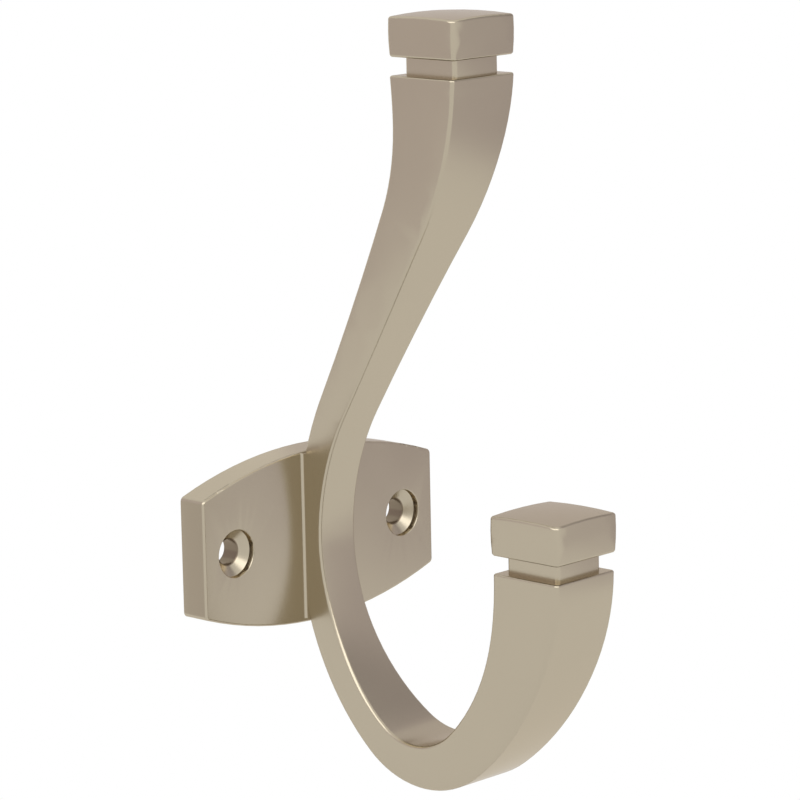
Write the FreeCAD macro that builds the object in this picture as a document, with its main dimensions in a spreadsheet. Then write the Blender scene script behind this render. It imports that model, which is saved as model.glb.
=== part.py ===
import FreeCAD, Part
import math
import os

import Sketcher

# Double robe hook: one casting that is screwed to a wall.
# An arched back plate carries an S-shaped arm of square section. The arm leans out and up
# to one peg, sweeps down and round to a second one, and swells towards both. Each peg ends
# in a flat shoulder, a thinner neck and a square cap.
# Frame: millimetres, +Z up, +X to the right of someone who faces the wall. The wall is
# the plane Y = 0 and the hook stands out from it towards -Y. The origin is the middle of
# the plate's back face.

NODE = "hook_casting"

# Driving dimensions: name, value in millimetres or degrees, what it measures.
SIZES = (
    ("plate_width", 53.4, "back plate, end to end"),
    ("plate_end_height", 19.4, "straight ends of the back plate"),
    ("plate_arch_radius", 77.5, "arched top and bottom edges of the plate"),
    ("plate_thickness", 5.2, "back plate, back to front"),
    ("plate_corner_round", 0.9, "the plate's four corners, seen from the front"),
    ("plate_rim_round", 0.4, "rim round the plate's front face"),
    ("screw_inset", 7.2, "centre of a screw hole, in from the plate's end"),
    ("screw_bore", 4.3, "hole for the screw's shank"),
    ("screw_mouth", 7.8, "bore for the screw's head"),
    ("screw_mouth_depth", 1.1, "depth of that bore above its cone"),
    ("screw_cone_angle", 118.0, "cone that seats the screw's head"),
    ("screw_mouth_bevel", 0.15, "rim of that bore"),
    ("root_top_inset", 0.3445, "top of the arm's root, in from the crest of the plate's arch"),
    ("root_foot_inset", 0.8445, "foot of the arm's root, in from the crest of the lower arch"),
    ("root_proud", 2.4, "how far the root reaches out over the plate's face"),
    ("root_lip", 0.05, "root over the arm's sides"),
    ("root_fillet", 0.6, "hollow between root and plate"),
    ("arm_stand", 6.35, "wall to the middle of the arm at the plate"),
    ("lean_radius", 45.8, "path of the upper arm where it leaves the plate"),
    ("lean_angle", 29.45, "tilt of the upper arm's straight run"),
    ("slope_length", 36.1, "straight run of the upper arm"),
    ("crown_radius", 48.1, "path of the upper arm where it turns upright"),
    ("belly_radius", 38.05, "path of the lower arm under the plate"),
    ("belly_angle", 54.5, "turn of the path there"),
    ("bend_radius", 15.7, "path round the bottom of the hook"),
    ("bend_angle", 75.7, "turn of the path there"),
    ("prong_radius", 40.7, "path of the rising prong"),
    ("arm_edge_round", 0.7, "the arm's four long edges"),
    ("waist_width", 8.2, "arm at the plate, across"),
    ("waist_depth", 5.2, "arm at the plate, back to front"),
    ("lean_mid_width", 8.15, "halfway along the leaning curve, across"),
    ("lean_mid_depth", 5.5, "and back to front"),
    ("lean_width", 8.3, "end of the leaning curve, across"),
    ("lean_depth", 6.1, "and back to front"),
    ("slope_mid_width", 9.4, "middle of the straight run, across"),
    ("slope_mid_depth", 7.5, "and back to front"),
    ("slope_width", 11.5, "end of the straight run, across"),
    ("slope_depth", 9.4, "and back to front"),
    ("crown_width", 13.2, "middle of the crown curve, across"),
    ("crown_depth", 11.4, "and back to front"),
    ("upper_tip_width", 14.6, "upper shoulder, across"),
    ("upper_tip_depth", 13.5, "and back to front"),
    ("belly_mid_width", 8.75, "middle of the belly curve, across"),
    ("belly_mid_depth", 5.65, "and back to front"),
    ("belly_width", 11.3, "end of the belly curve, across"),
    ("belly_depth", 5.95, "and back to front"),
    ("bend_mid_width", 12.1, "bottom of the hook, across"),
    ("bend_mid_depth", 7.05, "and back to front"),
    ("bend_width", 12.7, "foot of the rising prong, across"),
    ("bend_depth", 8.3, "and back to front"),
    ("prong_mid_width", 13.85, "middle of the rising prong, across"),
    ("prong_mid_depth", 10.8, "and back to front"),
    ("prong_high_width", 13.85, "three quarters of the way up it, across"),
    ("prong_high_depth", 12.55, "and back to front"),
    ("lower_tip_width", 13.95, "lower shoulder, across"),
    ("lower_tip_depth", 13.35, "and back to front"),
    ("shoulder_round", 0.35, "rim of each shoulder"),
    ("neck_width", 10.25, "neck under a cap, across"),
    ("neck_depth", 10.65, "neck under a cap, back to front"),
    ("neck_height", 2.85, "gap between shoulder and cap"),
    ("neck_edge_round", 0.9, "the neck's upright edges"),
    ("cap_width", 14.45, "cap at its widest, across"),
    ("cap_depth", 14.1, "cap at its widest, back to front"),
    ("cap_height", 6.8, "cap, foot to the top of its dome"),
    ("cap_foot_inset", 0.15, "foot of a cap inside its widest outline"),
    ("cap_top_inset", 0.08, "top of a cap inside its widest outline"),
    ("cap_dome_radius", 95.0, "dome on top of a cap"),
    ("cap_corner_round", 0.8, "the four upright edges of a cap"),
    ("cap_rim_round", 0.5, "rims of a cap's foot and dome"),
)

# Roles of the body's own origin planes.
LEVEL, FRONT, SIDE = "XY_Plane", "XZ_Plane", "YZ_Plane"
ALONG_X = FreeCAD.Vector(1, 0, 0)
ALONG_Z = FreeCAD.Vector(0, 0, 1)

# How a sketch names the points of a line or an arc, its own origin and its two axes.
START, END, CENTRE = range(1, 4)
ORIGIN = (-1, 1)
UPRIGHT_AXIS, LEVEL_AXIS = range(-2, 0)

# The size of an edge feature, by its kind.
EASED_BY = {"Fillet": "Radius", "Chamfer": "Size"}

# How near two places are to count as one, in millimetres.
TOUCH = 0.01

# A round corner of a section is this many narrow flat strips.
STRIPS = range(1, 3)


def make_sheet(doc):
    """Give every driving dimension a cell with its own name."""
    sheet = doc.addObject("Spreadsheet::Sheet", "Sizes")
    for row, (name, value, note) in enumerate(SIZES, start=1):
        sheet.set(f"A{row}", name)
        sheet.set(f"B{row}", str(value))
        sheet.set(f"C{row}", note)
        sheet.setAlias(f"B{row}", name)
    doc.recompute()
    return sheet


def sketch_on(body, role, name):
    """Add an empty sketch on one of the body's origin planes."""
    sketch = body.newObject("Sketcher::SketchObject", name)
    plane = next(feature for feature in body.Origin.OriginFeatures if feature.Role == role)
    sketch.AttachmentSupport = (plane, [""])
    sketch.MapMode = "FlatFace"
    return sketch


def flat(x, y):
    """A point of a sketch."""
    return FreeCAD.Vector(x, y, 0)


def constrain(sketch, *rules):
    """Add constraints, each given as the arguments that it takes."""
    for rule in rules:
        sketch.addConstraint(Sketcher.Constraint(*rule))


def dimension(sketch, name, formula, *rule):
    """Add a named dimension that follows a formula on the sheet."""
    index = sketch.addConstraint(Sketcher.Constraint(*rule))
    sketch.renameConstraint(index, name)
    sketch.setExpression(f"Constraints.{name}", formula)


def draw_round_rectangle(sketch, width, depth, corner):
    """Draw a rectangle about the sketch's origin with corners rounded in narrow flat strips.

    The strips of a corner touch one round, turn by equal steps and are equally wide.
    """
    half, radius = 5.0, 1.0
    inner = half - radius
    per_corner = len(STRIPS) + 1
    step = math.pi / 2 / per_corner
    reach = radius / math.cos(step / 2)
    points = []
    for number in range(4):
        rotation = FreeCAD.Rotation(ALONG_Z, 90 * number)
        for place in range(per_corner):
            angle = step * (place + 0.5) - math.pi / 2
            spot = flat(inner + reach * math.cos(angle), reach * math.sin(angle) - inner)
            points.append(rotation.multVec(spot))
    count = len(points)
    for number in range(count):
        sketch.addGeometry(Part.LineSegment(points[number - 1], points[number]))
    for number in range(count):
        constrain(sketch, ("Coincident", number, END, (number + 1) % count, START))
    sides = range(0, count, per_corner)
    strips = [side + place for side in sides for place in STRIPS]
    for line, direction in zip(sides, ("Horizontal", "Vertical") * 2):
        constrain(sketch, (direction, line))
    for line in strips:
        constrain(sketch, ("Angle", line, line * step))
    for line in strips[1:]:
        constrain(sketch, ("Equal", strips[0], line))
    constrain(sketch, ("Symmetric", sides[0], START, sides[2], START, *ORIGIN))
    strip = f"2 * {corner} * tan(45 deg / {per_corner})"
    dimension(sketch, "strip", strip, "Distance", strips[0], 2 * radius * math.tan(step / 2))
    right, left, near, far = sides[1], sides[3], sides[0], sides[2]
    dimension(sketch, "across", width, "DistanceX", left, START, right, START, 2 * half)
    dimension(sketch, "deep", depth, "DistanceY", near, START, far, START, 2 * half)


def pick_edges(shape, wanted):
    """Names of the shape's edges that pass a test."""
    return [f"Edge{number}" for number, edge in enumerate(shape.Edges, start=1) if wanted(edge)]


def ease_edges(body, kind, name, wanted, size):
    """Fillet or chamfer the edges of the body's last feature that pass a test."""
    body.Document.recompute()
    base = body.Tip
    easing = body.newObject(f"PartDesign::{kind}", name)
    easing.Base = (base, pick_edges(base.Shape, wanted))
    easing.setExpression(EASED_BY[kind], size)
    body.Document.recompute()


def make_plate(body):
    """Pad the arched back plate out from the wall and round its corners and front rim."""
    outline = sketch_on(body, FRONT, "PlateOutline")
    half, end, middle = 25.0, 10.0, 14.0
    outline.addGeometry(Part.LineSegment(flat(half, -end), flat(half, end)))
    outline.addGeometry(Part.Arc(flat(half, end), flat(0, middle), flat(-half, end)))
    outline.addGeometry(Part.LineSegment(flat(-half, end), flat(-half, -end)))
    outline.addGeometry(Part.Arc(flat(-half, -end), flat(0, -middle), flat(half, -end)))
    right, top, left, bottom = range(4)
    constrain(
        outline,
        ("Coincident", right, END, top, START),
        ("Coincident", top, END, left, START),
        ("Coincident", left, END, bottom, START),
        ("Coincident", bottom, END, right, START),
        ("Vertical", right),
        ("Vertical", left),
        ("Symmetric", right, START, left, START, *ORIGIN),
        ("PointOnObject", top, CENTRE, UPRIGHT_AXIS),
        ("Equal", top, bottom),
    )
    dimension(
        outline, "end_height", "Sizes.plate_end_height",
        "DistanceY", right, START, right, END, 2 * end)
    dimension(outline, "width", "Sizes.plate_width", "DistanceX", left, END, right, START, 2 * half)
    dimension(outline, "arch", "Sizes.plate_arch_radius", "Radius", top, 77.0)
    plate = body.newObject("PartDesign::Pad", "Plate")
    plate.Profile = outline
    plate.setExpression("Length", "Sizes.plate_thickness")
    ease_edges(body, "Fillet", "PlateCorners", runs_back_to_front, "Sizes.plate_corner_round")
    ease_edges(body, "Fillet", "PlateRim", lies_in_front, "Sizes.plate_rim_round")


def runs_back_to_front(edge):
    """True for an edge that crosses the plate's thickness."""
    return edge.BoundBox.YLength > max(edge.BoundBox.XLength, edge.BoundBox.ZLength)


def lies_in_front(edge):
    """True for an edge that no part of the plate's back touches."""
    return edge.BoundBox.YMax < -TOUCH


def arm_section(body, name, size, place, tilt):
    """Add one cross-section of the arm: a rounded rectangle square to the arm's path.

    `size` begins the names of its width and depth on the sheet, `place` holds formulas for
    its y and z, and `tilt` one for its turn about the X axis.
    """
    section = sketch_on(body, LEVEL, name)
    section.AttachmentOffset = FreeCAD.Placement(FreeCAD.Vector(), FreeCAD.Rotation(ALONG_X, 1))
    draw_round_rectangle(
        section, f"Sizes.{size}_width", f"Sizes.{size}_depth", "Sizes.arm_edge_round")
    section.setExpression("AttachmentOffset.Base.y", place[0])
    section.setExpression("AttachmentOffset.Base.z", place[1])
    section.setExpression("AttachmentOffset.Rotation.Angle", tilt)
    return section


def after_arc(start, radius, tilt_from, tilt_to, rise):
    """Formulas for the place that an arc of the path reaches from a section.

    The tilts are the path's angles from upright at the arc's ends, out towards -Y. `rise`
    is 1 where the path climbs at its start and -1 where it falls.
    """
    y = f"{start}.AttachmentOffset.Base.y - {radius} * 1 mm * (cos({tilt_from}) - cos({tilt_to}))"
    z = f"{start}.AttachmentOffset.Base.z + {radius} * {rise} mm * (sin({tilt_to}) - sin({tilt_from}))"
    return y, z


def after_line(start, length, tilt):
    """Formulas for the place that a straight, climbing run of the path reaches."""
    y = f"{start}.AttachmentOffset.Base.y - {length} * 1 mm * sin({tilt})"
    z = f"{start}.AttachmentOffset.Base.z + {length} * 1 mm * cos({tilt})"
    return y, z


def upper_sections(body):
    """Sections of the arm over the waist, in order up to the upper shoulder."""
    upright, lean, half_lean = "0 deg", "Sizes.lean_angle * 1 deg", "Sizes.lean_angle * 0.5 deg"
    leaning = "Sizes.lean_radius"
    straightening = "-Sizes.crown_radius"
    stations = (
        ("LeanMid", "lean_mid", after_arc("Waist", leaning, upright, half_lean, 1), half_lean),
        ("LeanEnd", "lean", after_arc("Waist", leaning, upright, lean, 1), lean),
        ("SlopeMid", "slope_mid", after_line("LeanEnd", "Sizes.slope_length / 2", lean), lean),
        ("SlopeEnd", "slope", after_line("LeanEnd", "Sizes.slope_length", lean), lean),
        ("CrownMid", "crown", after_arc("SlopeEnd", straightening, lean, half_lean, 1), half_lean),
        ("UpperTip", "upper_tip", after_arc("SlopeEnd", straightening, lean, upright, 1), upright),
    )
    return [arm_section(body, *station) for station in stations]


def lower_sections(body):
    """Sections of the arm under the waist, in order round to the lower shoulder."""
    down, belly, half_belly = "0 deg", "Sizes.belly_angle * 1 deg", "Sizes.belly_angle * 0.5 deg"
    bend = "(Sizes.belly_angle + Sizes.bend_angle) * 1 deg"
    half_bend = "(Sizes.belly_angle + Sizes.bend_angle / 2) * 1 deg"
    up = "180 deg"
    half_prong = "(180 + Sizes.belly_angle + Sizes.bend_angle) * 0.5 deg"
    high_prong = "(540 + Sizes.belly_angle + Sizes.bend_angle) * 0.25 deg"
    under, round_bottom, rising = "Sizes.belly_radius", "Sizes.bend_radius", "Sizes.prong_radius"
    stations = (
        ("BellyMid", "belly_mid", after_arc("Waist", under, down, half_belly, -1), half_belly),
        ("BellyEnd", "belly", after_arc("Waist", under, down, belly, -1), belly),
        ("BendMid", "bend_mid", after_arc("BellyEnd", round_bottom, belly, half_bend, -1), half_bend),
        ("BendEnd", "bend", after_arc("BellyEnd", round_bottom, belly, bend, -1), bend),
        ("ProngMid", "prong_mid", after_arc("BendEnd", rising, bend, half_prong, -1), half_prong),
        ("ProngHigh", "prong_high", after_arc("BendEnd", rising, bend, high_prong, -1), high_prong),
        ("LowerTip", "lower_tip", after_arc("BendEnd", rising, bend, up, -1), up),
    )
    return [
        arm_section(body, name, size, place, f"-{tilt}") for name, size, place, tilt in stations
    ]


def on_circle(centre, radius, angle):
    """The point of a circle at an angle in degrees."""
    turn = math.radians(angle)
    return centre + flat(radius * math.cos(turn), radius * math.sin(turn))


def draw_path(body):
    """Draw the arm's path in the middle plane: five tangent arcs and a straight run.

    The waist, where the two arcs beside the plate meet, lies level with the plate's middle.
    """
    sizes = body.Document.Sizes
    lean, belly, foot = sizes.lean_angle, -sizes.belly_angle, -sizes.belly_angle - sizes.bend_angle
    waist = flat(-sizes.arm_stand, 0)
    lean_centre = waist - flat(sizes.lean_radius, 0)
    lean_end = on_circle(lean_centre, sizes.lean_radius, lean)
    slope_end = on_circle(lean_end, sizes.slope_length, 90 + lean)
    crown_centre = on_circle(slope_end, sizes.crown_radius, lean)
    belly_centre = waist - flat(sizes.belly_radius, 0)
    bend_centre = on_circle(belly_centre, sizes.belly_radius - sizes.bend_radius, belly)
    prong_centre = on_circle(bend_centre, sizes.bend_radius - sizes.prong_radius, foot)
    path = sketch_on(body, SIDE, "ArmPath")
    arcs = (
        ("lean", lean_centre, 0, lean),
        ("crown", crown_centre, 180, 180 + lean),
        ("belly", belly_centre, belly, 0),
        ("bend", bend_centre, foot, belly),
        ("prong", prong_centre, -180, foot),
    )
    for number, (name, centre, start, end) in enumerate(arcs):
        radius = getattr(sizes, f"{name}_radius")
        circle = Part.Circle(centre, ALONG_Z, radius)
        path.addGeometry(Part.ArcOfCircle(circle, math.radians(start), math.radians(end)))
        dimension(path, f"{name}_radius", f"Sizes.{name}_radius", "Radius", number, radius)
    path.addGeometry(Part.LineSegment(lean_end, slope_end))
    lean, crown, belly, bend, prong, slope = range(6)
    constrain(
        path,
        ("Tangent", crown, END, slope, END),
        ("Tangent", slope, START, lean, END),
        ("Tangent", lean, START, belly, END),
        ("Tangent", belly, START, bend, END),
        ("Tangent", bend, START, prong, END),
        ("PointOnObject", lean, START, LEVEL_AXIS),
        ("PointOnObject", lean, CENTRE, LEVEL_AXIS),
        ("Horizontal", crown, START, crown, CENTRE),
        ("Horizontal", prong, START, prong, CENTRE),
    )
    dimension(path, "stand", "Sizes.arm_stand", "DistanceX", lean, START, *ORIGIN, sizes.arm_stand)
    dimension(path, "slope_length", "Sizes.slope_length", "Distance", slope, sizes.slope_length)
    for name, number in (("lean_angle", lean), ("belly_angle", belly), ("bend_angle", bend)):
        turn = math.radians(getattr(sizes, name))
        dimension(path, name, f"Sizes.{name} * 1 deg", "Angle", number, turn)
    return path


def make_arm(body):
    """Sweep the arm along its path, through the section that it has at each station."""
    waist = arm_section(body, "Waist", "waist", ("-Sizes.arm_stand", "0"), "0 deg")
    above = upper_sections(body)
    below = lower_sections(body)
    sections = above[::-1] + [waist] + below
    arm = body.newObject("PartDesign::AdditivePipe", "Arm")
    arm.Profile = sections[0]
    arm.Spine = (draw_path(body), [])
    arm.Transformation = "Multisection"
    arm.Sections = [(section, [""]) for section in sections[1:]]
    body.Document.recompute()
    tips = [section.Placement.Base.z for section in (above[-1], below[-1])]

    def on_shoulder(edge):
        return any(lies_level_at(edge, tip) for tip in tips)

    ease_edges(body, "Fillet", "Shoulders", on_shoulder, "Sizes.shoulder_round")


def lies_level_at(edge, height):
    """True for an edge that lies in the level plane at a height."""
    box = edge.BoundBox
    return abs(box.ZMin - height) < TOUCH and abs(box.ZMax - height) < TOUCH


def draw_rectangle(sketch, left, right, low, high):
    """Draw an upright rectangle whose four sides follow formulas for their distance from the origin.

    `left` and `low` count towards the sketch's negative axes.
    """
    reach = 3.0
    corners = [flat(-reach, -reach), flat(reach, -reach), flat(reach, reach), flat(-reach, reach)]
    for number, corner in enumerate(corners):
        sketch.addGeometry(Part.LineSegment(corner, corners[(number + 1) % 4]))
        constrain(sketch, ("Horizontal" if number % 2 == 0 else "Vertical", number))
    for number in range(4):
        constrain(sketch, ("Coincident", number, END, (number + 1) % 4, START))
    dimension(sketch, "left", left, "DistanceX", 0, START, *ORIGIN, reach)
    dimension(sketch, "right", right, "DistanceX", *ORIGIN, 0, END, reach)
    dimension(sketch, "low", low, "DistanceY", 0, START, *ORIGIN, reach)
    dimension(sketch, "high", high, "DistanceY", *ORIGIN, 2, START, reach)


def make_root(body):
    """Pad the root that fills the gap between arm and plate, and hollow its two long corners.

    Its top and its foot keep a little inside the plate's two arched edges.
    """
    outline = sketch_on(body, SIDE, "RootOutline")
    fall = "sqrt(Sizes.plate_arch_radius ^ 2 - Sizes.plate_width ^ 2 / 4)"
    crest = f"Sizes.plate_end_height / 2 + Sizes.plate_arch_radius - {fall}"
    draw_rectangle(
        outline,
        "Sizes.plate_thickness + Sizes.root_proud",
        "-Sizes.plate_thickness / 2",
        f"{crest} - Sizes.root_foot_inset",
        f"{crest} - Sizes.root_top_inset",
    )
    root = body.newObject("PartDesign::Pad", "Root")
    root.Profile = outline
    root.Midplane = True
    root.setExpression("Length", "Sizes.waist_width + 2 * Sizes.root_lip")
    sizes = body.Document.Sizes

    def beside_root(edge):
        box = edge.BoundBox
        in_face = abs(box.YMin + sizes.plate_thickness) < TOUCH and box.YLength < TOUCH
        upright = box.XLength < TOUCH and box.ZLength > sizes.plate_end_height
        return in_face and upright and abs(box.XMin) < sizes.waist_width

    ease_edges(body, "Fillet", "RootHollows", beside_root, "Sizes.root_fillet")


def make_peg_end(body, side):
    """Finish one tip of the arm with its neck and its domed cap."""
    tip = f"{side}Tip"
    outline = outline_over(
        body, f"{side}NeckOutline", tip, "0 mm",
        "Sizes.neck_width", "Sizes.neck_depth", "Sizes.neck_edge_round")
    neck = body.newObject("PartDesign::Pad", f"{side}Neck")
    neck.Profile = outline
    neck.setExpression("Length", "Sizes.neck_height")
    make_cap(body, side, tip)
    cut_dome(body, side, tip)
    round_cap_rims(body, side, outline.Placement.Base)


def outline_over(body, name, tip, lift, width, depth, corner):
    """Add a level rounded rectangle some way over one tip of the arm, sized by formulas."""
    outline = sketch_on(body, LEVEL, name)
    draw_round_rectangle(outline, width, depth, corner)
    outline.setExpression("AttachmentOffset.Base.y", f"{tip}.AttachmentOffset.Base.y")
    outline.setExpression("AttachmentOffset.Base.z", f"{tip}.AttachmentOffset.Base.z + {lift}")
    body.Document.recompute()
    return outline


def make_cap(body, side, tip):
    """Loft a cap whose four sides bulge a little between its foot and its top."""
    stations = (
        ("Foot", "Sizes.neck_height", "Sizes.cap_foot_inset"),
        ("Middle", "(Sizes.neck_height + Sizes.cap_height / 2)", "0"),
        ("Top", "(Sizes.neck_height + Sizes.cap_height)", "Sizes.cap_top_inset"),
    )
    sections = [
        outline_over(
            body, f"{side}Cap{name}", tip, f"{lift} * 1 mm",
            f"Sizes.cap_width - 2 * {inset}", f"Sizes.cap_depth - 2 * {inset}",
            "Sizes.cap_corner_round")
        for name, lift, inset in stations
    ]
    cap = body.newObject("PartDesign::AdditiveLoft", f"{side}Cap")
    cap.Profile = sections[0]
    cap.Sections = sections[1:]


def cut_dome(body, side, tip):
    """Turn the cap's top down to a shallow dome, highest over the middle of the cap.

    The outline is the space over the dome. It turns a little to both sides about a level
    axis through the middle of the dome's sphere.
    """
    sizes = body.Document.Sizes
    radius, reach = sizes.cap_dome_radius, sizes.cap_width
    top = sizes.neck_height + sizes.cap_height
    over = top + sizes.cap_height
    middle = top - radius
    rim = math.asin(reach / radius)
    edge = middle + radius * math.cos(rim)
    profile = sketch_on(body, FRONT, f"{side}DomeOutline")
    profile.setExpression("AttachmentOffset.Base.y", f"{tip}.AttachmentOffset.Base.z")
    profile.setExpression("AttachmentOffset.Base.z", f"-{tip}.AttachmentOffset.Base.y")
    circle = Part.Circle(flat(0, middle), ALONG_Z, radius)
    profile.addGeometry(Part.ArcOfCircle(circle, math.pi / 2 - rim, math.pi / 2 + rim))
    corners = [flat(-reach, edge), flat(-reach, over), flat(reach, over), flat(reach, edge)]
    for begin, end in zip(corners, corners[1:]):
        profile.addGeometry(Part.LineSegment(begin, end))
    profile.addGeometry(Part.LineSegment(flat(-reach, middle), flat(reach, middle)), True)
    dome, left, lid, right, axis = range(5)
    constrain(
        profile,
        ("Coincident", dome, END, left, START),
        ("Coincident", left, END, lid, START),
        ("Coincident", lid, END, right, START),
        ("Coincident", right, END, dome, START),
        ("Vertical", left),
        ("Horizontal", lid),
        ("Vertical", right),
        ("PointOnObject", dome, CENTRE, UPRIGHT_AXIS),
        ("Symmetric", axis, START, axis, END, dome, CENTRE),
        ("Horizontal", axis),
        ("Equal", axis, lid),
    )
    dimension(profile, "radius", "Sizes.cap_dome_radius", "Radius", dome, radius)
    dimension(profile, "reach", "2 * Sizes.cap_width", "DistanceX", lid, START, lid, END, 2 * reach)
    dimension(
        profile, "middle", "Sizes.neck_height + Sizes.cap_height - Sizes.cap_dome_radius",
        "DistanceY", *ORIGIN, dome, CENTRE, middle)
    dimension(
        profile, "over", "Sizes.neck_height + 2 * Sizes.cap_height",
        "DistanceY", *ORIGIN, lid, START, over)
    groove = body.newObject("PartDesign::Groove", f"{side}Dome")
    groove.Profile = profile
    groove.ReferenceAxis = (profile, ["Axis0"])
    groove.Midplane = True
    groove.setExpression("Angle", "2 * asin(Sizes.cap_depth / Sizes.cap_dome_radius)")
    body.Document.recompute()


def round_cap_rims(body, side, tip):
    """Round the rim of a cap's foot and the rim of its dome."""
    sizes = body.Document.Sizes
    foot = tip.z + sizes.neck_height
    middle = foot + sizes.cap_height / 2

    def on_rim(edge):
        if edge.BoundBox.YMin > tip.y + sizes.cap_depth:
            return False
        if edge.BoundBox.ZMin > middle and edge.BoundBox.ZMax < foot + sizes.cap_height:
            return True
        return lies_level_at(edge, foot) and not within_neck(edge, tip.y, sizes)

    ease_edges(body, "Fillet", f"{side}CapRims", on_rim, "Sizes.cap_rim_round")


def within_neck(edge, middle, sizes):
    """True for an edge that reaches no further than the neck's outline."""
    box = edge.BoundBox
    across = max(-box.XMin, box.XMax)
    deep = max(middle - box.YMin, box.YMax - middle)
    return across < sizes.neck_width / 2 + TOUCH and deep < sizes.neck_depth / 2 + TOUCH


def drill_screw_holes(body):
    """Drill the two holes: a bore for the screw's head, its cone, and the hole for its shank."""
    centres = sketch_on(body, FRONT, "ScrewCentres")
    centres.setExpression("AttachmentOffset.Base.z", "Sizes.plate_thickness")
    left, right = 0, 1
    reach, radius = 20.0, 2.0
    for side in (-1, 1):
        centres.addGeometry(Part.Circle(flat(side * reach, 0), ALONG_Z, radius))
    constrain(
        centres,
        ("Symmetric", left, CENTRE, right, CENTRE, *ORIGIN),
        ("Horizontal", left, CENTRE, right, CENTRE),
        ("Equal", left, right),
    )
    dimension(
        centres, "spacing", "Sizes.plate_width - 2 * Sizes.screw_inset",
        "DistanceX", left, CENTRE, right, CENTRE, 2 * reach)
    dimension(centres, "bore", "Sizes.screw_bore / 2", "Radius", left, radius)
    holes = body.newObject("PartDesign::Hole", "ScrewHoles")
    holes.Profile = centres
    body.Document.recompute()
    holes.DepthType = "ThroughAll"
    holes.HoleCutType = "Counterdrill"
    holes.HoleCutCustomValues = True
    holes.setExpression("Diameter", "Sizes.screw_bore")
    holes.setExpression("HoleCutDiameter", "Sizes.screw_mouth")
    holes.setExpression("HoleCutDepth", "Sizes.screw_mouth_depth")
    holes.setExpression("HoleCutCountersinkAngle", "Sizes.screw_cone_angle")
    body.Document.recompute()
    face = -body.Document.Sizes.plate_thickness

    def round_mouth(edge):
        return edge.isClosed() and abs(edge.BoundBox.YMin - face) < TOUCH

    ease_edges(body, "Chamfer", "ScrewMouths", round_mouth, "Sizes.screw_mouth_bevel")


def check_built(doc, body):
    """Stop if a feature failed, the holes cut nothing, or the casting isn't one valid solid."""
    failed = [item.Name for item in doc.Objects if {"Invalid", "Error"} & set(item.State)]
    if failed:
        raise RuntimeError(f"failed features: {failed}")
    shape = body.Shape
    if shape.isNull() or not shape.isValid() or len(shape.Solids) != 1:
        raise RuntimeError("the casting is not one valid solid")
    if doc.ScrewHoles.Shape.Volume >= doc.PlateRim.Shape.Volume:
        raise RuntimeError("the screw holes cut nothing")
    print(f"{body.Label}: {shape.Volume:.1f} cubic mm, {len(shape.Faces)} faces")


def main():
    doc = FreeCAD.newDocument("double_robe_hook")
    make_sheet(doc)
    body = doc.addObject("PartDesign::Body", "HookCasting")
    body.Label = NODE
    make_plate(body)
    drill_screw_holes(body)
    make_root(body)
    make_arm(body)
    make_peg_end(body, "Upper")
    make_peg_end(body, "Lower")
    check_built(doc, body)
    os.makedirs("parts", exist_ok=True)
    body.Shape.exportStep(f"parts/{NODE}.step")


main()
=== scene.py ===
import logging
import math
from dataclasses import dataclass, field
from enum import Enum

import bpy
from mathutils import Matrix, Vector


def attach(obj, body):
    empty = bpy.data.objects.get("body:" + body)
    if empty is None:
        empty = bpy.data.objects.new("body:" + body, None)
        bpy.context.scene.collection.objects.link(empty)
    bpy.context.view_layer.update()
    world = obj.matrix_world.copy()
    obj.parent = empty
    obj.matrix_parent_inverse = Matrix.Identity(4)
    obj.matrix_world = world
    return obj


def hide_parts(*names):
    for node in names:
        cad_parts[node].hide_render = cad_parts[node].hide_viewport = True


# Double robe hook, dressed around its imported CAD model: a satin nickel casting on a white ground.
# Lengths are in metres. Azimuths, elevations and the camera's roll are in degrees.

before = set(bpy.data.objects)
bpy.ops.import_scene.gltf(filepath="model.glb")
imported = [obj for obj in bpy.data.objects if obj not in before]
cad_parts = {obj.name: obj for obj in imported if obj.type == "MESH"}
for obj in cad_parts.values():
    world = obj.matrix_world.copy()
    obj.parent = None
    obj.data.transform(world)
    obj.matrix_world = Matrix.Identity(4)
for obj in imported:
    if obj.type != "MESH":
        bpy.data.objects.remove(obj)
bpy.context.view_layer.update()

LOG = logging.getLogger("robe_hook")
NODE = "hook_casting"
BODY = "root"

Colour = tuple[float, float, float]


class Blend(Enum):
    """How two colours are mixed."""

    MIX = "MIX"
    MULTIPLY = "MULTIPLY"


class Sum(Enum):
    """How two numbers are combined."""

    TAKE_AWAY = "SUBTRACT"
    MAGNITUDE = "ABSOLUTE"
    LARGER = "MAXIMUM"
    TIMES = "MULTIPLY"


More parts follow.
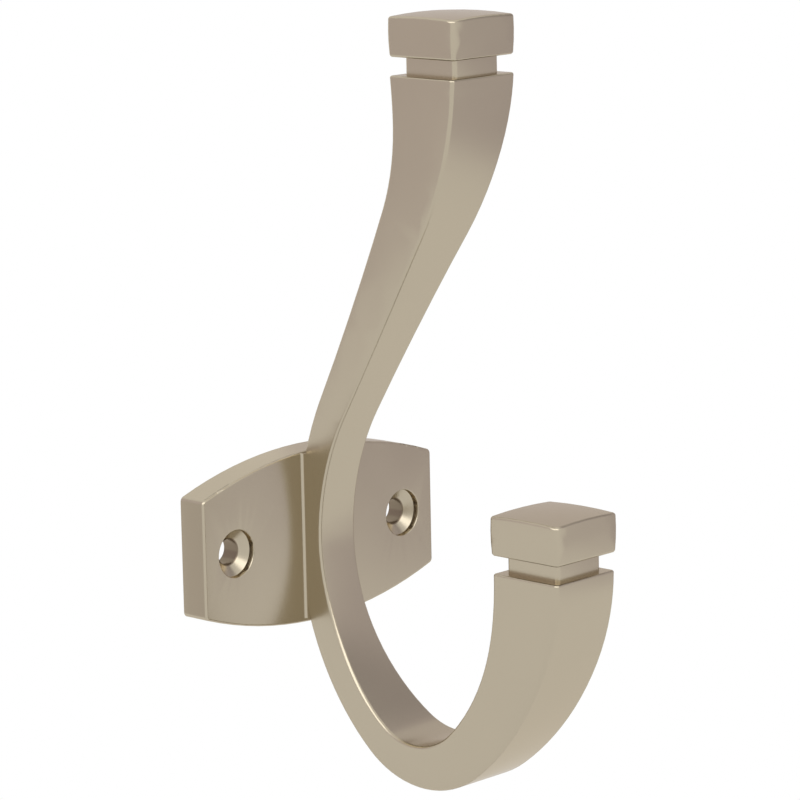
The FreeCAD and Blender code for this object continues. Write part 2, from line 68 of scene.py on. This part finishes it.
class NodeKit:
    """Adds and links shader nodes in one tree, left to right."""

    COLUMN_WIDTH = 200

    def __init__(self, tree: bpy.types.NodeTree) -> None:
        """Start at the left of a tree.
        """
        self.tree = tree
        self.column = 0

    def add(self, kind: str, **settings: object) -> bpy.types.Node:
        """Add a node and set its properties.

        Args:
            kind: the node's type name.
            settings: properties of the node, by name.

        Returns:
            The new node.
        """
        node = self.tree.nodes.new(kind)
        node.location = (self.COLUMN_WIDTH * self.column, 0)
        self.column += 1
        for name, value in settings.items():
            setattr(node, name, value)
        return node

    def supply(self, socket: bpy.types.NodeSocket, value: object) -> None:
        """Give an input what it needs: a socket is linked, anything else is a plain value.

        Args:
            socket: the input.
            value: a socket or a plain value.
        """
        if isinstance(value, bpy.types.NodeSocket):
            self.tree.links.new(value, socket)
        else:
            socket.default_value = value

    def feed(self, node: bpy.types.Node, **inputs: object) -> bpy.types.Node:
        """Supply a node's inputs by name.

        Args:
            node: the node whose inputs are set.
            inputs: values or sockets by the input's name, with _ for a space.

        Returns:
            The same node.
        """
        for name, value in inputs.items():
            self.supply(node.inputs[name.replace("_", " ")], value)
        return node

    def mix(self, kind: Blend, factor: object, first: object, second: object) -> bpy.types.NodeSocket:
        """Mix two colours.

        Args:
            kind: how the colours are mixed.
            factor: share of the second colour.
            first: the first colour, a socket or four numbers.
            second: the second colour, a socket or four numbers.

        Returns:
            The mixed colour.
        """
        node = self.add("ShaderNodeMix", data_type="RGBA", blend_type=kind.value)
        colour_inputs = [socket for socket in node.inputs if socket.type == "RGBA"]
        for socket, value in zip([node.inputs[0], *colour_inputs], (factor, first, second)):
            self.supply(socket, value)
        return next(socket for socket in node.outputs if socket.type == "RGBA")

    def reckon(self, kind: Sum, *values: object) -> bpy.types.NodeSocket:
        """Combine numbers.

        Args:
            kind: how they are combined.
            values: sockets or plain numbers, in order.

        Returns:
            The result.
        """
        node = self.add("ShaderNodeMath", operation=kind.value)
        for socket, value in zip(node.inputs, values):
            self.supply(socket, value)
        return node.outputs[0]

    def ramp(self, value: bpy.types.NodeSocket, low: float, high: float,
             to_low: float, to_high: float) -> bpy.types.NodeSocket:
        """Map a value from one range to another, clamped.

        Args:
            value: the value to map.
            low: start of the range it comes from.
            high: end of that range.
            to_low: what the start becomes.
            to_high: what the end becomes.

        Returns:
            The mapped value.
        """
        node = self.add("ShaderNodeMapRange")
        names = ("From_Min", "From_Max", "To_Min", "To_Max")
        self.feed(node, Value=value, **dict(zip(names, (low, high, to_low, to_high))))
        return node.outputs["Result"]


class SatinGrain:
    """The fine tooth and the faint clouds of satin plating, as a group that finishes can share."""

    NAME = "satin_grain"
    GRAIN_DETAIL = 2.0
    GRAIN_ROUGHNESS = 0.6
    CLOUD_DETAIL = 3.0
    CLOUD_ROUGHNESS = 0.5

    @classmethod
    def group(cls) -> bpy.types.NodeTree:
        """Build the group once, or fetch it.

        Returns:
            A group that turns two pattern scales into a fine grain and a soft cloud.
        """
        if cls.NAME in bpy.data.node_groups:
            return bpy.data.node_groups[cls.NAME]
        tree = bpy.data.node_groups.new(cls.NAME, "ShaderNodeTree")
        kit = NodeKit(tree)
        for name in ("Grain Size", "Cloud Size"):
            tree.interface.new_socket(name, in_out="INPUT", socket_type="NodeSocketFloat")
        for name in ("Grain", "Cloud"):
            tree.interface.new_socket(name, in_out="OUTPUT", socket_type="NodeSocketFloat")
        inside = kit.add("NodeGroupInput")
        place = kit.add("ShaderNodeTexCoord").outputs["Object"]
        grain = kit.feed(kit.add("ShaderNodeTexNoise"), Vector=place, Scale=inside.outputs["Grain Size"],
                         Detail=cls.GRAIN_DETAIL, Roughness=cls.GRAIN_ROUGHNESS)
        cloud = kit.feed(kit.add("ShaderNodeTexNoise"), Vector=place, Scale=inside.outputs["Cloud Size"],
                         Detail=cls.CLOUD_DETAIL, Roughness=cls.CLOUD_ROUGHNESS)
        kit.feed(kit.add("NodeGroupOutput"), Grain=grain.outputs["Fac"], Cloud=cloud.outputs["Fac"])
        return tree


class BoreShade:
    """Painted shade inside the two screw holes, as a group that finishes can share."""

    NAME = "bore_shade"

    @classmethod
    def group(cls) -> bpy.types.NodeTree:
        """Build the group once, or fetch it.

        Returns:
            A group that is 1 within a radius of either hole's axis and 0 beyond a wider one.
        """
        if cls.NAME in bpy.data.node_groups:
            return bpy.data.node_groups[cls.NAME]
        tree = bpy.data.node_groups.new(cls.NAME, "ShaderNodeTree")
        kit = NodeKit(tree)
        for name in ("Spacing Half", "Inner", "Outer"):
            tree.interface.new_socket(name, in_out="INPUT", socket_type="NodeSocketFloat")
        tree.interface.new_socket("Shade", in_out="OUTPUT", socket_type="NodeSocketFloat")
        inside = kit.add("NodeGroupInput")
        place = kit.add("ShaderNodeTexCoord").outputs["Object"]
        parts = kit.feed(kit.add("ShaderNodeSeparateXYZ"), Vector=place)
        across = kit.reckon(Sum.MAGNITUDE, parts.outputs["X"])
        off = kit.reckon(Sum.TAKE_AWAY, across, inside.outputs["Spacing Half"])
        level = kit.feed(kit.add("ShaderNodeCombineXYZ"), X=off, Z=parts.outputs["Z"])
        reach = kit.feed(kit.add("ShaderNodeVectorMath", operation="LENGTH"), Vector=level.outputs[0])
        shade = kit.ramp(reach.outputs["Value"], inside.outputs["Inner"], inside.outputs["Outer"], 1.0, 0.0)
        kit.feed(kit.add("NodeGroupOutput"), Shade=shade)
        return tree


@dataclass(frozen=True)
class SatinNickel:
    """Satin nickel plate: a warm grey metal, lightly blurred, with a fine tooth."""

    name: str = "satin_nickel"
    colour: Colour = (0.492, 0.432, 0.328)
    deep_colour: Colour = (0.46, 0.404, 0.307)
    # Painted shade: the colour that the plating darkens to inside the two screw holes.
    painted_bore_shade_colour: Colour = (0.22, 0.175, 0.125)
    grazing_tint: Colour = (0.9, 0.85, 0.78)
    roughness: float = 0.24
    roughness_spread: float = 0.02
    grain_size: float = 2500.0
    cloud_size: float = 60.0
    cloud_low: float = 0.3
    cloud_high: float = 0.7
    tooth: float = 0.02
    tooth_depth: float = 0.00002
    hole_spacing: float = 0.039
    bore_radius: float = 0.00215
    bore_margin: float = 0.0001

    def material(self) -> bpy.types.Material:
        """Build the plating's material.

        Returns:
            The finished material.
        """
        material = bpy.data.materials.new(self.name)
        material.use_nodes = True
        kit = NodeKit(material.node_tree)
        shader = material.node_tree.nodes["Principled BSDF"]
        grain = kit.add("ShaderNodeGroup", node_tree=SatinGrain.group())
        kit.feed(grain, Grain_Size=self.grain_size, Cloud_Size=self.cloud_size)
        plated = kit.mix(Blend.MIX, grain.outputs["Cloud"], (*self.deep_colour, 1), (*self.colour, 1))
        # Painted shade: inside the two screw holes, the plating's colour is darkened to the bore colour.
        painted_bore_shade = kit.add("ShaderNodeGroup", node_tree=BoreShade.group())
        kit.feed(painted_bore_shade, Spacing_Half=self.hole_spacing / 2, Inner=self.bore_radius + self.bore_margin,
                 Outer=self.bore_radius + 2 * self.bore_margin)
        colour = kit.mix(Blend.MIX, painted_bore_shade.outputs["Shade"], plated, (*self.painted_bore_shade_colour, 1))
        roughness = kit.ramp(grain.outputs["Cloud"], self.cloud_low, self.cloud_high,
                             self.roughness - self.roughness_spread,
                             self.roughness + self.roughness_spread)
        bump = kit.feed(kit.add("ShaderNodeBump"), Strength=self.tooth, Distance=self.tooth_depth,
                        Height=grain.outputs["Grain"])
        kit.feed(shader, Base_Color=colour, Roughness=roughness, Normal=bump.outputs["Normal"],
                 Metallic=1.0, Specular_Tint=(*self.grazing_tint, 1))
        return material


@dataclass
class Casting:
    """The hook itself: one casting of back plate, arm, necks and caps."""

    smooth_under: float = math.radians(46)
    join_within: float = 1e-6
    lead: int = 50
    finish: SatinNickel = field(default_factory=SatinNickel)

    def build(self) -> bpy.types.Object:
        """Copy the CAD casting, join its faces and give it smooth faces and its finish.

        Returns:
            The finished casting.
        """
        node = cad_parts[NODE]
        bpy.ops.object.select_all(action="DESELECT")
        casting = node.copy()
        casting.data = node.data.copy()
        casting.name = "hook"
        casting.parent = None
        for key in list(casting.keys()):
            del casting[key]
        bpy.context.scene.collection.objects.link(casting)
        casting.select_set(True)
        bpy.context.view_layer.objects.active = casting
        bpy.ops.object.mode_set(mode="EDIT")
        bpy.ops.mesh.select_all(action="SELECT")
        bpy.ops.mesh.remove_doubles(threshold=self.join_within)
        bpy.ops.object.mode_set(mode="OBJECT")
        if casting.data.has_custom_normals:
            bpy.ops.mesh.customdata_custom_splitnormals_clear()
        bpy.ops.object.shade_smooth_by_angle(angle=self.smooth_under)
        self.settle_normals(casting)
        self.dress(casting)
        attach(casting, BODY)
        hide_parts(NODE)
        return casting

    def settle_normals(self, casting: bpy.types.Object) -> None:
        """Let the large faces lead the shading, so that flats stay flat between their rounds.

        Args:
            casting: the casting's object, which is the active one.
        """
        settle = casting.modifiers.new("settle", "WEIGHTED_NORMAL")
        settle.mode = "FACE_AREA"
        settle.weight = self.lead
        settle.keep_sharp = True
        bpy.ops.object.modifier_apply(modifier=settle.name)

    def dress(self, casting: bpy.types.Object) -> None:
        """Give the casting its plating.

        Args:
            casting: the casting's object.
        """
        casting.data.materials.clear()
        casting.data.materials.append(self.finish.material())


@dataclass(frozen=True)
class GreyCard:
    """An upright grey card out of the picture, for the metal to reflect.

    It faces the hook from its azimuth and distance, moved along by its offset. Towards the
    camera's side and the top, its grey may fall by the dark share.
    """

    name: str
    azimuth: float
    distance: float
    offset: float
    width: float
    foot: float
    top: float
    colour: Colour
    dark_share: float = 0.0
    dark_from: float = 0.09
    dark_full: float = 0.155
    dark_reach: float = 0.06

    def stand(self) -> bpy.types.Object:
        """Stand the card beside the hook.

        Returns:
            The card.
        """
        turn = math.radians(self.azimuth)
        towards = Vector((math.cos(turn), math.sin(turn), 0))
        along = Vector((-math.sin(turn), math.cos(turn), 0))
        middle = towards * self.distance + along * self.offset
        middle.z = (self.foot + self.top) / 2
        bpy.ops.object.select_all(action="DESELECT")
        quarter = math.pi / 2
        bpy.ops.mesh.primitive_plane_add(size=1, location=middle, rotation=(quarter, 0, turn + quarter))
        card = bpy.context.object
        card.name = self.name
        card.scale = (self.width, self.top - self.foot, 1)
        bpy.ops.object.transform_apply(location=True, rotation=True, scale=True)
        card.visible_camera = False
        card.data.materials.append(self.material())
        return card

    def material(self) -> bpy.types.Material:
        """Build the card's material, which shows its own grey at a plain level.

        Returns:
            The material.
        """
        material = bpy.data.materials.new(f"{self.name}_grey")
        material.use_nodes = True
        kit = NodeKit(material.node_tree)
        grey = self.darken(kit) if self.dark_share else (*self.colour, 1)
        glow = kit.feed(kit.add("ShaderNodeEmission"), Color=grey, Strength=1.0)
        kit.feed(material.node_tree.nodes["Material Output"], Surface=glow.outputs[0])
        return material

    def darken(self, kit: NodeKit) -> bpy.types.NodeSocket:
        """Let the card's grey fall towards its top and the camera's side.

        Args:
            kit: the node kit of the card's material.

        Returns:
            The grey over the whole card.
        """
        place = kit.add("ShaderNodeTexCoord").outputs["Object"]
        parts = kit.feed(kit.add("ShaderNodeSeparateXYZ"), Vector=place)
        high = kit.ramp(parts.outputs["Z"], self.dark_from, self.dark_full, 0.0, self.dark_share)
        near = kit.ramp(parts.outputs["Y"], -self.dark_reach, self.dark_reach, 1.0, 0.0)
        shade = kit.reckon(Sum.TAKE_AWAY, 1.0, kit.reckon(Sum.TIMES, high, near))
        return kit.mix(Blend.MULTIPLY, 1.0, (*self.colour, 1), shade)


@dataclass(frozen=True)
class SoftLamp:
    """A flat soft lamp that faces the hook, with its glow as the metal shows it."""

    name: str
    azimuth: float
    elevation: float
    distance: float
    width: float
    height: float
    glow: float
    watts_per_glow: float = 4.0

    def hang(self) -> bpy.types.Object:
        """Hang the lamp.

        Returns:
            The lamp.
        """
        turn, rise = math.radians(self.azimuth), math.radians(self.elevation)
        towards = Vector((math.cos(turn) * math.cos(rise), math.sin(turn) * math.cos(rise), math.sin(rise)))
        light = bpy.data.lights.new(self.name, "AREA")
        light.shape = "RECTANGLE"
        light.size, light.size_y = self.width, self.height
        light.energy = self.watts_per_glow * self.glow * self.width * self.height
        lamp = bpy.data.objects.new(self.name, light)
        lamp.visible_camera = False
        lamp.location = towards * self.distance
        lamp.rotation_euler = (-towards).to_track_quat("-Z", "Y").to_euler()
        bpy.context.scene.collection.objects.link(lamp)
        return lamp


@dataclass
class Studio:
    """A plain pale floor, a white ground, a wide soft lamp on the left and grey cards round the hook."""

    floor_height: float = -0.1
    floor_reach: float = 3.0
    floor_colour: Colour = (0.85, 0.85, 0.85)
    floor_roughness: float = 0.9
    surround: float = 0.6
    cards: tuple[GreyCard, ...] = (
        GreyCard("right_card", azimuth=0.0, distance=0.2, offset=-0.109, width=0.298,
                 foot=-0.0685, top=0.25, colour=(0.665, 0.62, 0.665), dark_share=0.33),
        GreyCard("rear_card", azimuth=30.0, distance=0.22, offset=-0.004, width=0.143,
                 foot=-0.06, top=0.3, colour=(0.78, 0.75, 0.77)),
        GreyCard("left_card", azimuth=136.0, distance=0.2, offset=0.0, width=0.2,
                 foot=-0.003, top=0.2, colour=(0.785, 0.735, 0.765)),
        GreyCard("end_card", azimuth=180.0, distance=0.037, offset=-0.0065, width=0.012,
                 foot=-0.018, top=0.012, colour=(0.72, 0.685, 0.675)),
    )
    key: SoftLamp = SoftLamp("key", azimuth=-145.0, elevation=40.0, distance=1.2,
                             width=3.8, height=0.75, glow=1.15)

    def build(self) -> None:
        """Make the floor, the surround, the cards and the lamp."""
        self.lay_floor()
        self.light_surround()
        for card in self.cards:
            card.stand()
        self.key.hang()

    def lay_floor(self) -> None:
        """Lay a pale floor that the camera and the metal see as white."""
        bpy.ops.object.select_all(action="DESELECT")
        bpy.ops.mesh.primitive_plane_add(size=2 * self.floor_reach, location=(0, 0, self.floor_height))
        floor = bpy.context.object
        floor.name = "floor"
        material = bpy.data.materials.new("floor_white")
        material.use_nodes = True
        kit = NodeKit(material.node_tree)
        matte = material.node_tree.nodes["Principled BSDF"]
        kit.feed(matte, Base_Color=(*self.floor_colour, 1), Roughness=self.floor_roughness)
        white = kit.feed(kit.add("ShaderNodeEmission"), Color=(1, 1, 1, 1), Strength=1.0)
        self.show_white(kit, matte, white, "Material Output")
        floor.data.materials.append(material)

    def light_surround(self) -> None:
        """Light the surround evenly, and show it white to the camera and the metal."""
        world = bpy.data.worlds.new("surround")
        bpy.context.scene.world = world
        world.use_nodes = True
        kit = NodeKit(world.node_tree)
        soft = world.node_tree.nodes["Background"]
        kit.feed(soft, Color=(1, 1, 1, 1), Strength=self.surround)
        white = kit.feed(kit.add("ShaderNodeBackground"), Color=(1, 1, 1, 1), Strength=1.0)
        self.show_white(kit, soft, white, "World Output")

    @staticmethod
    def show_white(kit: NodeKit, soft: bpy.types.Node, white: bpy.types.Node, end: str) -> None:
        """Show plain white to camera, glossy and transmission rays, and the soft shader to the rest.

        Args:
            kit: the node kit of the tree.
            soft: the shader that lights and takes shadows.
            white: the plain white shader.
            end: name of the tree's output node.
        """
        path = kit.add("ShaderNodeLightPath")
        seen = path.outputs["Is Camera Ray"]
        for ray in ("Is Glossy Ray", "Is Transmission Ray"):
            seen = kit.reckon(Sum.LARGER, seen, path.outputs[ray])
        switch = kit.add("ShaderNodeMixShader")
        for socket, value in zip(switch.inputs, (seen, soft.outputs[0], white.outputs[0])):
            kit.supply(socket, value)
        kit.feed(kit.tree.nodes[end], Surface=switch.outputs[0])


@dataclass(frozen=True)
class View:
    """The photograph's camera: where it stands round the hook and how it is aimed."""

    azimuth: float = -46.476
    elevation: float = 10.745
    roll: float = -1.186
    distance: float = 0.635362
    aside: float = 0.016722
    lift: float = 0.021323
    focal_pixels: float = 3830.009
    frame_pixels: float = 800.0
    sensor: float = 36.0
    nearest: float = 0.01
    farthest: float = 20.0

    def place(self) -> bpy.types.Object:
        """Set up the scene's camera.

        Returns:
            The camera.
        """
        turn, rise, roll = (math.radians(angle) for angle in (self.azimuth, self.elevation, self.roll))
        back = Vector((math.sin(turn) * math.cos(rise), -math.cos(turn) * math.cos(rise), math.sin(rise)))
        level = Vector((math.cos(turn), math.sin(turn), 0))
        upright = back.cross(level)
        right = level * math.cos(roll) + upright * math.sin(roll)
        up = upright * math.cos(roll) - level * math.sin(roll)
        data = bpy.data.cameras.new("camera")
        data.sensor_width = self.sensor
        data.lens = self.focal_pixels / self.frame_pixels * self.sensor
        data.clip_start, data.clip_end = self.nearest, self.farthest
        camera = bpy.data.objects.new("camera", data)
        spot = back * self.distance + right * self.aside + up * self.lift
        axes = Matrix((right, up, back)).transposed().to_4x4()
        camera.matrix_world = Matrix.Translation(spot) @ axes
        bpy.context.scene.collection.objects.link(camera)
        bpy.context.scene.camera = camera
        return camera


def main() -> None:
    """Build the camera, the studio and the hook, in that order."""
    logging.basicConfig(level=logging.INFO, format="%(name)s: %(message)s")
    bpy.context.scene.view_settings.view_transform = "Standard"
    LOG.info("camera: %s", View().place().name)
    Studio().build()
    LOG.info("studio: floor, surround, cards and lamp")
    casting = Casting().build()
    LOG.info("piece: %s, %d faces", casting.name, len(casting.data.polygons))


if __name__ == "__main__":
    main()
